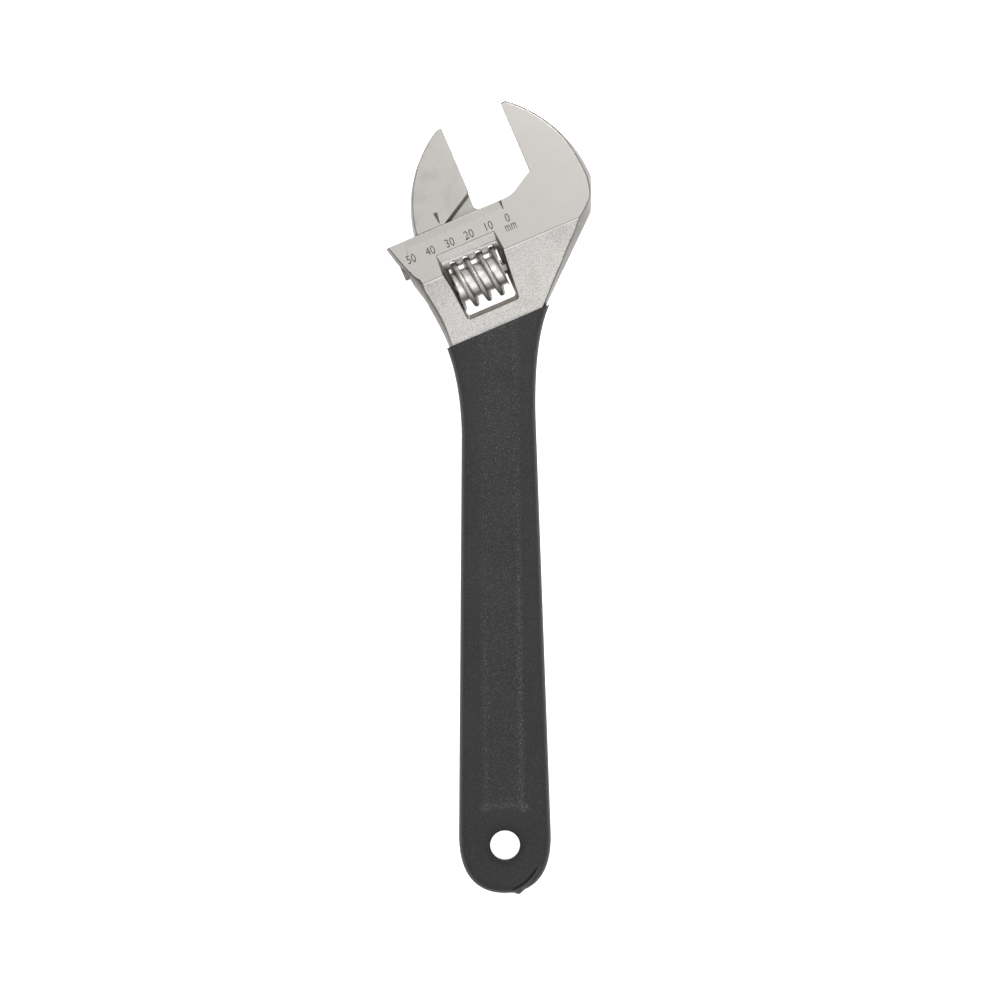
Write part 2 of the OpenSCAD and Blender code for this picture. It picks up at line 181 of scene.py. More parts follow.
class Solid:
    """One closed mesh in millimetres, shaped with bmesh operators."""

    def __init__(self, name: str, bm: bmesh.types.BMesh | None = None) -> None:
        """Starts a solid.

        Args:
            name: the piece's name.
            bm: its mesh, or None for an empty one.
        """
        self.name = name
        self.bm = bm or bmesh.new()

    @classmethod
    def plate(cls, name: str, outline: Sequence[Point], low: float, high: float) -> "Solid":
        """A straight plate over an outline.

        Args:
            name: the solid's name.
            outline: its corners, counter-clockwise.
            low: its lower height.
            high: its upper height.

        Returns:
            The closed plate.
        """
        made = cls(name)
        face = made.bm.faces.new([made.bm.verts.new((x, y, low)) for x, y in outline])
        grown = bmesh.ops.extrude_face_region(made.bm, geom=[face], use_keep_orig=True)
        top = [v for v in grown["geom"] if isinstance(v, bmesh.types.BMVert)]
        bmesh.ops.translate(made.bm, vec=(0, 0, high - low), verts=top)
        return made.outward()

    @classmethod
    def turned(cls, name: str, profile: Sequence[Point], steps: int = 64) -> "Solid":
        """A lathe shape round the X axis.

        Args:
            name: the solid's name.
            profile: a closed section, as places along the axis and radii.
            steps: how many steps a full turn has.

        Returns:
            The closed ring or rod.
        """
        made = cls(name)
        verts = [made.bm.verts.new((x, r, 0)) for x, r in profile]
        edges = [made.bm.edges.new((v, verts[(i + 1) % len(verts)])) for i, v in enumerate(verts)]
        bmesh.ops.spin(made.bm, geom=verts + edges, cent=(0, 0, 0), axis=(1, 0, 0),
                       dvec=(0, 0, 0), angle=2 * math.pi, steps=steps, use_merge=True)
        bmesh.ops.remove_doubles(made.bm, verts=made.bm.verts, dist=1e-4)
        loose = [e for e in made.bm.edges if not e.link_faces]
        bmesh.ops.delete(made.bm, geom=loose, context="EDGES")
        return made.outward()

    @classmethod
    def rod(cls, name: str, start: float, end: float, radius: float, steps: int = 64) -> "Solid":
        """A plain cylinder along X from start to end."""
        made = cls(name)
        place = Matrix.Translation(((start + end) / 2, 0, 0)) @ Matrix.Rotation(
            math.pi / 2, 4, "Y")
        bmesh.ops.create_cone(made.bm, cap_ends=True, segments=steps, radius1=radius,
                              radius2=radius, depth=end - start, matrix=place)
        return made.outward()

    def outward(self) -> "Solid":
        """Points every face outwards."""
        bmesh.ops.recalc_face_normals(self.bm, faces=self.bm.faces)
        return self

    def moved(self, matrix: Matrix) -> "Solid":
        """Moves the whole solid."""
        bmesh.ops.transform(self.bm, matrix=matrix, verts=self.bm.verts)
        return self

    def _object(self) -> bpy.types.Object:
        """A scene object with this mesh."""
        mesh = bpy.data.meshes.new(self.name)
        self.bm.to_mesh(mesh)
        made = bpy.data.objects.new(self.name, mesh)
        bpy.context.collection.objects.link(made)
        return made

    def combined(self, how: Cut, others: Iterable["Solid"]) -> "Solid":
        """Cuts away, joins or keeps what it shares with other solids.

        Args:
            how: what to do with each other solid.
            others: the other solids, which are used up.

        Returns:
            This solid, with its new mesh.
        """
        thing = self._object()
        used = []
        for other in others:
            tool = other._object()
            used.append(tool)
            step = thing.modifiers.new("step", "BOOLEAN")
            step.operation = how.value
            step.solver = "EXACT"
            step.object = tool
            other.bm.free()
        graph = bpy.context.evaluated_depsgraph_get()
        shaped = thing.evaluated_get(graph).to_mesh()
        self.bm.clear()
        self.bm.from_mesh(shaped)
        for old in [thing, *used]:
            mesh = old.data
            bpy.data.objects.remove(old)
            bpy.data.meshes.remove(mesh)
        bmesh.ops.remove_doubles(self.bm, verts=self.bm.verts, dist=1e-3)
        bmesh.ops.dissolve_degenerate(self.bm, edges=self.bm.edges, dist=1e-3)
        return self

    def eased(self, width: float, segments: int = 2, angle: float = 28.0,
              only: Callable[[Vector], bool] | None = None) -> "Solid":
        """Rounds the sharp edges.

        Args:
            width: how far the rounding reaches from each edge.
            segments: how many strips it has.
            angle: the least angle of an edge that is rounded, in degrees.
            only: says from an edge's middle whether it is rounded.

        Returns:
            This solid.
        """
        bmesh.ops.remove_doubles(self.bm, verts=self.bm.verts, dist=0.04)
        bmesh.ops.dissolve_degenerate(self.bm, edges=self.bm.edges, dist=1e-3)
        edges = []
        for edge in self.bm.edges:
            if len(edge.link_faces) != 2 or edge.calc_face_angle(0) < math.radians(angle):
                continue
            middle = (edge.verts[0].co + edge.verts[1].co) / 2
            if only is None or only(middle):
                edges.append(edge)
        bmesh.ops.bevel(self.bm, geom=edges, offset=width, offset_type="OFFSET", profile=0.5,
                        segments=segments, affect="EDGES", clamp_overlap=False, material=-1,
                        loop_slide=True)
        return self

    def sliced(self, places: Iterable[float], normal: Vector, origin: Vector) -> "Solid":
        """Cuts edges into the surface along parallel planes.

        Args:
            places: the planes' distances from the origin.
            normal: their direction.
            origin: where the distances start.

        Returns:
            This solid.
        """
        for place in places:
            geom = [*self.bm.verts, *self.bm.edges, *self.bm.faces]
            bmesh.ops.bisect_plane(self.bm, geom=geom, dist=1e-4, plane_co=origin + normal * place,
                                   plane_no=normal)
        return self

    def finished(self, materials: Sequence[bpy.types.Material], body: str, node: str, slot: str,
                 pick: Callable[[Vector, Vector], int] | None = None) -> bpy.types.Object:
        """Turns the solid into a piece of the wrench, in metres.

        Args:
            materials: its finishes.
            body: the body that it rides on.
            node: the CAD node that it stands for.
            slot: the record's material slot; not used.
            pick: gives a face's finish from its middle and its normal.

        Returns:
            The finished piece.
        """
        if pick:
            for face in self.bm.faces:
                face.material_index = pick(face.calc_center_median(), face.normal)
        for face in self.bm.faces:
            face.smooth = True
        self.moved(Matrix.Scale(1 / METRE, 4))
        piece = self._object()
        piece.data.set_sharp_from_angle(angle=math.radians(38))
        for material in materials:
            piece.data.materials.append(material)
        weighted = piece.modifiers.new("even_normals", "WEIGHTED_NORMAL")
        weighted.keep_sharp = True
        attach(piece, body)
        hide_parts(node)
        self.bm.free()
        LOG.info("%s: %d faces on %s", piece.name, len(piece.data.polygons), body)
        return piece


@dataclass
class Drawn:
    """A forging drawn up from its parting line, the same on both sides."""

    outline: Sequence[Point]
    steps: Sequence[tuple[float, float]]
    inset: Callable[[Vector, float], float] = lambda place, share: share

    def solid(self, name: str) -> Solid:
        """Raises the outline ring by ring and mirrors it.

        Args:
            name: the solid's name.

        Returns:
            The closed forging, whose rings stand at each step's height and share of inset.
        """
        made = Solid(name)
        bm = made.bm
        face = bm.faces.new([bm.verts.new((x, y, 0)) for x, y in self.outline])
        height, drawn = 0.0, 0.0
        for rise, share in self.steps:
            grown = bmesh.ops.extrude_face_region(bm, geom=[face])
            bm.faces.remove(face)
            face = next(g for g in grown["geom"] if isinstance(g, bmesh.types.BMFace))
            for vert, shift in self._shifts(face, drawn, share, rise - height):
                bmesh.ops.translate(bm, vec=shift, verts=[vert])
            height, drawn = rise, share
        bmesh.ops.mirror(bm, geom=[*bm.verts, *bm.edges, *bm.faces], matrix=Matrix(),
                         merge_dist=1e-4, axis="Z")
        bmesh.ops.remove_doubles(bm, verts=bm.verts, dist=1e-4)
        return made.outward()

    def _shifts(self, face: bmesh.types.BMFace, drawn: float, share: float, up: float
                ) -> list[tuple[bmesh.types.BMVert, Vector]]:
        """How far each corner of the raised face moves in and up."""
        verts = list(face.verts)
        if face.normal.z < 0:
            verts.reverse()
        moves = []
        for i, vert in enumerate(verts):
            before = (vert.co - verts[i - 1].co).xy.normalized()
            after = (verts[(i + 1) % len(verts)].co - vert.co).xy.normalized()
            mean = Vector((-before.y - after.y, before.x + after.x)).normalized()
            inwards = self.inset(vert.co, share) - self.inset(vert.co, drawn)
            reach = inwards / max(mean.dot(Vector((-before.y, before.x))), 0.5)
            moves.append((vert, (mean * reach).to_3d() + Vector((0, 0, up))))
        return moves


# ---------------------------------------------------------------- shader graphs


class Value:
    """A shader value that can be used in arithmetic."""

    def __init__(self, graph: "Graph", socket: bpy.types.NodeSocket) -> None:
        """Wraps a socket of a graph."""
        self.graph = graph
        self.socket = socket

    def _math(self, kind: str, *values: "Value | float") -> "Value":
        """A Math node over the values."""
        return self.graph.node("ShaderNodeMath", {"operation": kind}, list(values)).out()

    def __add__(self, other: "Value | float") -> "Value":
        """The sum."""
        return self._math("ADD", self, other)

    __radd__ = __add__

    def __sub__(self, other: "Value | float") -> "Value":
        """The difference."""
        return self._math("SUBTRACT", self, other)

    def __rsub__(self, other: float) -> "Value":
        """The difference from a number."""
        return self._math("SUBTRACT", other, self)

    def __mul__(self, other: "Value | float") -> "Value":
        """The product."""
        return self._math("MULTIPLY", self, other)

    __rmul__ = __mul__

    def __pow__(self, other: float) -> "Value":
        """The power."""
        return self._math("POWER", self, other)

    def size(self) -> "Value":
        """The value without its sign."""
        return self._math("ABSOLUTE", self)

    def larger(self, other: "Value | float") -> "Value":
        """The larger of the two."""
        return self._math("MAXIMUM", self, other)

    def between(self, low: float, high: float) -> "Value":
        """0 below low and 1 above high, smoothly."""
        settings = {"interpolation_type": "SMOOTHSTEP"}
        inputs = {"Value": self, "From Min": low, "From Max": high}
        return self.graph.node("ShaderNodeMapRange", settings, inputs).out("Result")


class Placed:
    """A node whose sockets have been filled."""

    def __init__(self, graph: "Graph", node: bpy.types.Node) -> None:
        """Wraps a node of a graph."""
        self.graph = graph
        self.node = node

    def out(self, name: str | int = 0) -> Value:
        """One of the node's outputs."""
        return Value(self.graph, self.node.outputs[name])


class Graph:
    """The node tree of a material or a sky."""

    def __init__(self, owner: bpy.types.Material | bpy.types.World) -> None:
        """Empties the owner's node tree.

        Args:
            owner: the material or the sky.
        """
        owner.use_nodes = True
        self.owner = owner
        self.tree = owner.node_tree
        self.tree.nodes.clear()

    @classmethod
    def material(cls, name: str) -> "Graph":
        """The graph of a new material."""
        return cls(bpy.data.materials.new(name))

    def node(self, kind: str, settings: dict | None = None,
             inputs: dict | list | None = None) -> Placed:
        """Adds a node.

        Args:
            kind: the node's type.
            settings: properties that are set before the sockets.
            inputs: values or links, by socket name or in order.

        Returns:
            The filled node.
        """
        made = self.tree.nodes.new(kind)
        for key, value in (settings or {}).items():
            setattr(made, key, value)
        pairs = inputs.items() if isinstance(inputs, dict) else enumerate(inputs or [])
        for key, value in pairs:
            if isinstance(value, Value):
                self.tree.links.new(value.socket, made.inputs[key])
            else:
                made.inputs[key].default_value = value
        return Placed(self, made)

    def place(self, scale: Sequence[float] = (METRE, METRE, METRE), turn: float = 0.0) -> Value:
        """Object coordinates in millimetres, turned in the plane and stretched."""
        spot = self.node("ShaderNodeTexCoord").out("Object")
        inputs = {"Vector": spot, "Rotation": (0, 0, turn), "Scale": tuple(scale)}
        return self.node("ShaderNodeMapping", {"vector_type": "POINT"}, inputs).out()

    def noise(self, place: Value, scale: float, detail: float = 2.0, rough: float = 0.5) -> Value:
        """A noise of about scale features in a millimetre."""
        inputs = {"Vector": place, "Scale": scale, "Detail": detail, "Roughness": rough}
        return self.node("ShaderNodeTexNoise", {}, inputs).out("Fac")

    def cells(self, place: Value, scale: float) -> Value:
        """Distance to the nearest of scattered spots."""
        inputs = {"Vector": place, "Scale": scale}
        return self.node("ShaderNodeTexVoronoi", {}, inputs).out("Distance")

    def blend(self, mask: Value, a: Sequence[float] | Value, b: Sequence[float] | Value) -> Value:
        """A colour from a where the mask is 0 to b where it is 1."""
        made = self.tree.nodes.new("ShaderNodeMix")
        made.data_type = "RGBA"
        sockets = [made.inputs["Factor"], *[s for s in made.inputs if s.type == "RGBA"]]
        for socket, value in zip(sockets, (mask, a, b)):
            if isinstance(value, Value):
                self.tree.links.new(value.socket, socket)
            else:
                socket.default_value = (*value, 1.0)[:4]
        return Value(self, next(s for s in made.outputs if s.type == "RGBA"))

    def bump(self, height: Value, depth: float, under: Value | None = None) -> Value:
        """A bump of a depth in millimetres, on top of another."""
        inputs = {"Height": height, "Distance": depth / METRE, "Strength": 1.0}
        if under:
            inputs["Normal"] = under
        return self.node("ShaderNodeBump", {}, inputs).out()

    def surface(self, inputs: dict) -> bpy.types.Material:
        """Ends the graph with one shader.

        Args:
            inputs: the shader's sockets.

        Returns:
            The finished material.
        """
        shader = self.node("ShaderNodeBsdfPrincipled", {}, inputs).out()
        self.node("ShaderNodeOutputMaterial", {}, {"Surface": shader})
        return self.owner


# ---------------------------------------------------------------- finishes


@dataclass(frozen=True)
class Steel:
    """Plated or blasted steel.

    grain_mm is the size of the surface's grain and depth_mm its height. Stains darken the
    plating in soft patches, pits are small dark spots, and lines are the grinder's marks.
    """

    name: str
    colour: tuple[float, float, float]
    dark: tuple[float, float, float]
    roughness: float
    grain_mm: float
    depth_mm: float
    stains: float = 0.3
    pits: float = 0.0
    lines: float = 0.0
    turn: float = 0.0
    speckle: float = 0.0
    metallic: float = 1.0

    def build(self) -> bpy.types.Material:
        """Makes the material.

        Returns:
            A material whose colour, roughness and bump follow the grain, stains and pits.
        """
        g = Graph.material(self.name)
        place = g.place()
        grain = g.noise(place, 1 / self.grain_mm, 3.0, 0.6)
        cloud = g.noise(place, 0.07, 4.0, 0.62).between(0.44, 0.72)
        streak = g.noise(g.place((METRE * 0.05, METRE * 3.0, METRE), self.turn), 1.0, 3.0, 0.6)
        pit = 1 - g.cells(place, 0.055).between(0.018, 0.042)
        shade = cloud * self.stains + grain.between(0.35, 0.75) * self.speckle
        shade = shade + streak.between(0.3, 0.8) * (0.18 * self.lines)
        colour = g.blend(shade, self.colour, self.dark)
        colour = g.blend(pit * self.pits, colour, (0.03, 0.025, 0.02))
        rough = self.roughness + cloud * 0.08 + (grain - 0.5) * 0.12
        rough = rough + (streak - 0.5) * (0.15 * self.lines)
        normal = g.bump(grain, self.depth_mm)
        normal = g.bump(streak, 0.004 * self.lines, normal) if self.lines else normal
        normal = g.bump(pit * -1.0, 0.1 * self.pits, normal) if self.pits else normal
        return g.surface({"Base Color": colour, "Roughness": rough, "Normal": normal,
                          "Metallic": self.metallic})


@dataclass(frozen=True)
class Vinyl:
    """Dipped vinyl: charcoal, with a fine glittering speckle and a soft skin.

    The speckle is strongest and the colour lightest on the channel's rims, as a painted highlight
    where the rims catch the light; the rims run at rim_x on both sides of the middle from rim_y
    up. A run left by the last drip curves round the end at run_radius from run_centre; its
    groove is darkened with painted shade and its lip lightened with a painted highlight.
    """

    name: str
    colour: tuple[float, float, float]
    light: tuple[float, float, float]
    roughness: float
    speckle_mm: float
    depth_mm: float
    rim_x: float = 8.4
    rim_y: float = 19.0
    run_centre: Point = (-4.0, -1.0)
    run_radius: float = 21.4

    def _rims(self, g: Graph, x: Value, y: Value) -> Value:
        """Painted highlight on the channel's rims: 1 on the rims, falling to 0 beside them and towards
        the head.
        """
        away = ((x + 0.3).size() - self.rim_x).size()
        side = (1 - away.between(0.0, 2.6)) * y.between(self.rim_y - 4, self.rim_y + 3)
        side = side * (1 - y.between(60, 260) * 0.75) * (x.between(-1, 1) * 0.5 + 0.5)
        foot = (1 - (y - self.rim_y).size().between(0.0, 2.4)) * (1 - x.size().between(7, 9))
        dx, dy = x.size() - self.rim_x - 0.8, y - self.rim_y + 0.6
        horn = 1 - ((dx * dx + dy * dy) ** 0.5).between(0.6, 3.4)
        return side.larger(foot * 0.7).larger(horn)

    def _run(self, g: Graph, x: Value, y: Value) -> tuple[Value, Value]:
        """The run's groove and its raised lip: masks for the bump, for painted shade in the groove and
        for a painted highlight on the lip.
        """
        dx, dy = x - self.run_centre[0], y - self.run_centre[1]
        away = (dx * dx + dy * dy) ** 0.5 - self.run_radius
        here = x.between(1.5, 5.0) * (1 - y.between(-13.0, -8.0))
        groove = (1 - away.size().between(0.1, 0.8)) * here
        lip = (1 - (away - 1.1).size().between(0.1, 0.9)) * here
        return groove, lip

    def build(self) -> bpy.types.Material:
        """Makes the material.

        Returns:
            A material with a speckle in its colour, roughness and bump.
        """
        g = Graph.material(self.name)
        place = g.place()
        spot = g.node("ShaderNodeSeparateXYZ", {}, {"Vector": place})
        x, y = spot.out("X"), spot.out("Y")
        rims = self._rims(g, x, y)
        groove, lip = self._run(g, x, y)
        speck = g.noise(place, 1 / self.speckle_mm, 2.0, 0.7)
        cloud = g.noise(place, 0.05, 3.0, 0.5)
        fleck = speck.between(0.5, 0.74)
        inside = (1 - (x + 0.3).size().between(6.0, 10.0)) * y.between(18, 22)
        # The rims' terms and the lip's term lighten the colour as painted highlight; the rest is the
        # speckle and its cloud.
        shade = fleck * (0.22 + inside * 0.3 + rims * 0.9) + cloud * 0.1 + rims * 0.06 + lip * 0.2
        colour = g.blend(shade, self.colour, self.light)
        ring = 1 - ((x * x + y * y) ** 0.5 - 7.0).between(0.0, 5.0)
        # The groove is darkened as painted shade, and a ring round the hang hole is darkened as well.
        colour = g.blend(groove.larger(ring * 0.5) * 0.85, colour, (0.004, 0.004, 0.004))
        rough = self.roughness + (cloud - 0.5) * 0.12 - fleck * 0.1 + groove * 0.2
        normal = g.bump(speck, self.depth_mm)
        normal = g.bump(lip - groove, 0.35, normal)
        return g.surface({"Base Color": colour, "Roughness": rough, "Normal": normal,
                          "IOR": 1.4, "Specular IOR Level": 0.35})


@dataclass(frozen=True)
class Finishes:
    """Every finish on the wrench."""

    ground: Steel
    blasted: Steel
    flank: Steel
    machined: Steel
    wall: Steel
    slope: Steel
    rim: Steel
    step: Steel
    flank_rim: Steel
    jaw: Steel
    jaw_flank: Steel
    rack: Steel
    worm: Steel
    knurl: Steel
    thread: Steel
    pin: Steel
    wire: Steel
    tick: Steel
    mark: Steel
    vinyl: Vinyl


def wrench_finishes(turn: float) -> Finishes:
    """The wrench's finishes.

    Args:
        turn: the angle of the slide, which the grinder's marks follow.

    Returns:
        The finishes, not yet built.
    """
    return Finishes(
        ground=Steel("ground_plate", (0.485, 0.47, 0.45), (0.37, 0.355, 0.335), 0.34, 0.5, 0.012,
                     stains=0.4, pits=0.7, lines=0.6, turn=-turn, speckle=0.12),
        blasted=Steel("blasted_plate", (0.54, 0.53, 0.51), (0.21, 0.2, 0.185), 0.46, 0.65, 0.18,
                      stains=0.1, pits=0.25, speckle=0.6),
        flank=Steel("forged_flank", (0.21, 0.2, 0.19), (0.12, 0.115, 0.105), 0.5, 1.1, 0.04,
                    stains=0.15, pits=0.3, speckle=0.1),
        # The flank's strip next to each face is painted darker: painted shade of the steep rim.
        flank_rim=Steel("flank_rim", (0.09, 0.085, 0.08), (0.06, 0.057, 0.053), 0.5, 1.1, 0.03),
        machined=Steel("machined_cut", (0.42, 0.41, 0.39), (0.26, 0.25, 0.23), 0.36, 0.5, 0.01,
                       stains=0.3, lines=0.8, turn=-turn),
        wall=Steel("window_wall", (0.34, 0.305, 0.265), (0.2, 0.175, 0.15), 0.62, 0.6, 0.03,
                   stains=0.3),
        # The window's sloped walls are painted bright: painted light reflected off the slopes.
        slope=Steel("window_slope_painted_light", (0.85, 0.84, 0.81), (0.5, 0.49, 0.47), 0.6, 0.8, 0.1,
                    stains=0.1, speckle=0.3),
        # The blasted strip just below the ground band is painted lighter: a painted highlight along the
        # band's edge.
        rim=Steel("blasted_rim_painted_highlight", (0.66, 0.65, 0.63), (0.32, 0.31, 0.29), 0.45, 0.65, 0.12,
                  stains=0.05, speckle=0.4),
        # The small step at the ground band's edge is painted dark: painted shade along the step.
        step=Steel("band_step_painted_shade", (0.24, 0.23, 0.22), (0.15, 0.145, 0.135), 0.5, 0.6, 0.02),
        jaw=Steel("jaw_plate", (0.48, 0.465, 0.445), (0.3, 0.29, 0.27), 0.33, 0.5, 0.012,
                  stains=0.6, pits=0.9, lines=0.5, turn=-turn, speckle=0.1),
        jaw_flank=Steel("jaw_flank", (0.23, 0.22, 0.21), (0.15, 0.145, 0.135), 0.5, 0.9, 0.03,
                        stains=0.4),
        rack=Steel("rack_cut", (0.66, 0.65, 0.63), (0.45, 0.44, 0.42), 0.34, 0.6, 0.01,
                   stains=0.3),
        worm=Steel("bright_thread", (0.74, 0.73, 0.71), (0.45, 0.44, 0.42), 0.38, 0.6, 0.03,
                   stains=0.2, speckle=0.35),
        knurl=Steel("knurled_crest", (0.56, 0.55, 0.53), (0.14, 0.135, 0.125), 0.42, 0.4, 0.1,
                    stains=0.1, speckle=0.9),
        # The thread's sides are painted darker than the core: painted shade of the steep flanks.
        thread=Steel("thread_flank_painted_shade", (0.34, 0.33, 0.315), (0.2, 0.19, 0.18), 0.4, 0.6, 0.02),
        pin=Steel("pin_steel", (0.3, 0.29, 0.28), (0.2, 0.19, 0.18), 0.35, 0.4, 0.005),
        wire=Steel("spring_wire", (0.35, 0.34, 0.33), (0.2, 0.19, 0.18), 0.3, 0.4, 0.004),
        tick=Steel("stamped_tick", (0.36, 0.35, 0.33), (0.3, 0.29, 0.28), 0.45, 0.4, 0.01),
        mark=Steel("stamped_mark", (0.1, 0.093, 0.085), (0.06, 0.057, 0.053), 0.6, 0.4, 0.01,
                   metallic=0.7),
        vinyl=Vinyl("dipped_vinyl", (0.0155, 0.0158, 0.018), (0.15, 0.15, 0.145), 0.6, 0.5,
                    0.1),
    )


# ---------------------------------------------------------------- the forging


def rimmed(wide: float, share: float, rim: float = 0.6, start: float = 0.7) -> float:
    """How far a drafted side with a narrow rim stands in.

    Args:
        wide: the width of the whole side.
        share: the share of its rise, below 0 where it is grown.
        rim: the width that the rim takes at the top, at most 0.8 of the whole.
        start: the share at which the rim starts.

    Returns:
        The inset in millimetres.
    """
    rim = min(rim, wide * 0.8)
    return (wide - rim) * min(share / start, 1.0) + rim * max(0.0, (share - start) / (1 - start))


@dataclass
class Forging:
    """The body: handle, head and fixed jaw in one forging."""

    head: Head
    end_half: float = 20.7
    end_reach: float = 21.7
    neck_half: float = 16.5
    neck_shift: float = 0.6
    half_handle: float = 7.2
    half_head: float = 10.0
    step_depth: float = 0.2
    band: float = 22.2
    lip: tuple[float, float] = (0.3, 0.95)
    blend_length: float = 12.0
    draft: float = 1.3
    guide_back: float = 57.5
    jaw_height: float = 42.8
    rail_radius: float = 7.0
    rail_depth: float = 14.2
    rail_gap: float = 0.08
    web_half: float = 4.5
    window: tuple[float, float, float] = (-34.25, -9.25, 44.7)
    worm_end: float = -9.25
    left_flank: Sequence[Point] = ((6, 1.5), (0, 1.6), (-12, 2.15), (-18, 2.8), (-21.8, 4.5),
                                   (-24.5, 3.3), (-27, 2.8), (-42, 2.8), (-52, 2.0), (-66, 1.3))
    right_flank: Sequence[Point] = ((42, 0.8), (18, 1.15), (0, 2.2), (-6, 2.3), (-12, 1.2),
                                    (-16, 1.15), (-22.4, 4.0), (-26.5, 4.0), (-28, 3.4),
                                    (-43, 2.4), (-54, 1.4), (-66, 1.3))
    steps: Sequence[tuple[float, float]] = ((0.3, 0.2), (0.6, 0.45), (0.8, 0.7), (0.9, 0.81),
                                            (0.97, 0.91), (1.0, 1.0))

    @property
    def reach(self) -> float:
        """From the hang hole to the head's origin."""
        return self.head.origin.y

    def outline(self) -> list[Point]:
        """The outline at the parting line, closed across the mouth."""
        row = self.head.row
        neck_right = row(4, -self.window[2] - 8.4)
        neck_left = (-25.0, self.reach - 66.3)
        flank_right = row(39.0, -self.band - 0.3)
        flank_left = row(-self.guide_back + 6, -self.band - 3)
        corner = row(-self.guide_back, 0)
        right = self.neck_half - self.neck_shift
        left = -self.neck_half - self.neck_shift
        tip = self.head.FIXED_FACE + 3.4
        end, low = self.end_half, self.end_reach
        upper_left = row(-self.guide_back - 2.2, 6)
        back = (Vector(corner) - Vector(flank_left)).normalized() * 8
        rise = (Vector(flank_right) - Vector(neck_right)).normalized() * 12.3
        return [
            row(self.head.FIXED_FACE - 6, self.jaw_height),
            *[tuple(Vector(upper_left).lerp(Vector(flank_left), k / 16)) for k in range(16)],
            *curve(flank_left, tuple(Vector(flank_left) - back),
                   (neck_left[0] - 3.2, neck_left[1] + 7.5), neck_left, 14),
            *curve(neck_left, (neck_left[0] + 5.2, neck_left[1] - 12), (left, self.reach - 94),
                   (left, self.reach - 112), 18),
            (left, self.reach - 112),
            *curve((-end, 6), (-end - 0.5, -low * 0.6), (-low * 0.62, -low), (0, -low), 18),
            *curve((0, -low), (low * 0.62, -low), (end + 0.5, -low * 0.6), (end, 6), 18),
            (end, 6),
            *curve((right, self.reach - 103), (right - 0.3, self.reach - 76),
                   tuple(Vector(neck_right) - rise), neck_right, 18),
            *[tuple(Vector(neck_right).lerp(Vector(flank_right), k / 14)) for k in range(14)],
            *arc(flank_right, row(43.3, -self.band + 8.6), row(46.1, -6.2), 9),
            *arc(row(46.1, -6.2), row(41.1, 18.2), row(tip, self.jaw_height - 0.7), 30),
            row(tip, self.jaw_height - 0.7),
            row(tip - 0.7, self.jaw_height - 0.15),
            row(tip - 1.6, self.jaw_height),
        ]

    def face_height(self, below: float) -> float:
        """Half thickness at a distance below the ground band."""
        rise = self.half_head - self.half_handle - (self.step_depth if below > 0 else 0.0)
        return self.half_handle + rise * math.exp(-max(below, 0.0) / self.blend_length)

    def _inset(self, place: Vector, share: float) -> float:
        """How far the drafted side stands in at a share of its rise."""
        spot = self.head.local(place)
        if spot.y < -75:
            return self.draft * share
        if spot.x < -30:
            return along(self.left_flank, spot.y) * (share if share < 0 else share**2.5)
        return rimmed(along(self.right_flank, spot.y), share)

    def blank(self, grow: float = 0.0) -> Solid:
        """The forging before it is machined.

        Args:
            grow: how far it is grown on every side, for the cavity of the grip.

        Returns:
            The closed blank.
        """
        half = self.half_head + grow
        steps = [(half * z, d - grow) for z, d in self.steps]
        start = [(0.02, -grow)] if grow else []
        made = Drawn(self.outline(), [*start, *steps], self._inset).solid("body")
        falls = [self.band + d for d in (0, *self.lip, 3, 5, 8, 11, 15, 20, 26, 34, 46)]
        made.sliced([-f for f in falls], self.head.t, self.head.origin)
        for vert in made.bm.verts:
            below = -self.head.local(vert.co).y - self.band - self.lip[0] / 2
            vert.co.z *= (self.face_height(below) + grow) / half
        return made

    def channels(self, half_width: float, depth: float, face: float) -> list[Solid]:
        """Cutters for the forged channel in both faces."""
        low, top = 21.0, self.reach - 80
        upper = half_width - 1.6
        shape = [(-half_width - 1.5, low), (half_width + 1.5, low), (half_width, low + 4)]
        angles = [math.pi * i / 12 for i in range(13)]
        shape += [(upper * math.cos(a), top - upper + upper * math.sin(a)) for a in angles]
        shape += [(-half_width, low + 4)]
        shape = [(x - self.neck_shift / 2, y) for x, y in shape]
        return [Solid.plate("channel", shape, face - depth, face + 3),
                Solid.plate("channel", shape, -face - 3, depth - face)]

    def _mouth(self) -> Solid:
        """The space over the guide and before the fixed jaw's face."""
        face, throat = self.head.FIXED_FACE, 7.2
        shape = [(-90, 0), *curve((3.5, 0), (8, 0), (9.5, 1.2), (face, throat), 14),
                 (face, throat), (face, 90), (-90, 90)]
        return Solid.plate("mouth", shape, -12, 12).moved(self.head.matrix)

    def _window_ring(self, z: float) -> list[Point]:
        """The window's corners at a height."""
        left, right, low = self.window
        k = z / self.half_head
        lip = self.rail_radius - 0.15
        top = -16.7 + 4.3 * max(0.0, z - lip) / (self.half_head - lip)
        rack = -self.rail_depth - self.rail_radius - 0.2
        return [(left - 1.3 * k, -low - 2.9 * k), (right + 1.1 * k, -low - 2.9 * k),
                (right + 3.1 * k, rack), (right + 2.2 * k, top),
                (left - 2.9 * k, top), (left - 3.6 * k, rack)]

